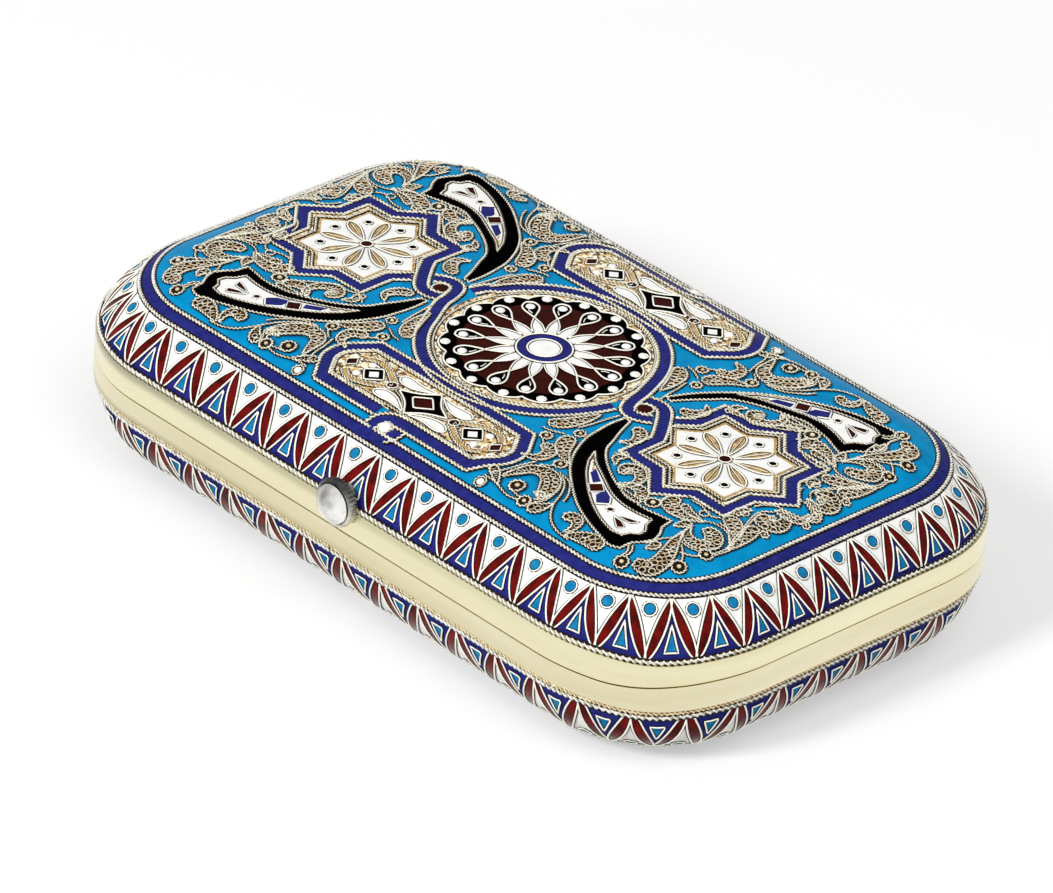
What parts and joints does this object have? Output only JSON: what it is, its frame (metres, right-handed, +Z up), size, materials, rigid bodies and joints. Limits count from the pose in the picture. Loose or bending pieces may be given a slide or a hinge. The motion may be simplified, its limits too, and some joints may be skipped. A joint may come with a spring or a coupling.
{
  "type": "cigarette case",
  "caption": "Hinged silver-gilt pocket case with enamelled, rope-edged lid and base, gilt bands, a back knuckle hinge and a push-button catch in front.",
  "frame": {"origin": "centre of the flat underside that the case rests on", "axes": "+X along the length of the case, +Y towards the hinge, +Z up through the lid; the push button looks to -Y"},
  "size_m": [0.1106, 0.0722, 0.0262],
  "materials": {
    "enamel_field": "fired glass enamel on silver, glossy",
    "enamel_border": "fired glass enamel on silver, glossy",
    "gilt": "polished pale gilding on silver",
    "twisted_wire": "gilt twisted wire",
    "silver": "polished silver",
    "spring_metal": "plain spring steel"
  },
  "bodies": {
    "base": {"base_shell": "enamel_border", "base_band": "gilt", "base_lip": "gilt", "base_foot_wire": "twisted_wire", "base_border_wire": "twisted_wire", "base_field_wire": "twisted_wire", "base_knuckle_1": "gilt", "base_knuckle_2": "gilt", "base_knuckle_3": "gilt", "base_knuckle_4": "gilt", "hinge_pin": "spring_metal"},
    "lid": {"lid_shell": "enamel_field", "lid_band": "gilt", "lid_foot_wire": "twisted_wire", "lid_border_wire": "twisted_wire", "lid_field_wire": "twisted_wire", "button_collar": "silver", "spring_block": "silver", "lid_knuckle_1": "gilt", "lid_knuckle_2": "gilt", "lid_knuckle_3": "gilt"},
    "button": {"thumb_button": "silver", "catch_hook": "spring_metal", "catch_spring": "spring_metal"}
  },
  "joints": [
    {"name": "lid_hinge", "type": "hinge", "parent": "base", "child": "lid", "pos_m": [0, 0.034, 0.0133], "axis": [-1, 0, 0], "range_deg": [0, 165]},
    {"name": "thumb_press", "type": "slide", "parent": "lid", "child": "button", "axis": [0, 1, 0], "range_m": [0, 0.0008], "stiffness_N_per_m": 2500, "springref_m": -0.0004}
  ]
}
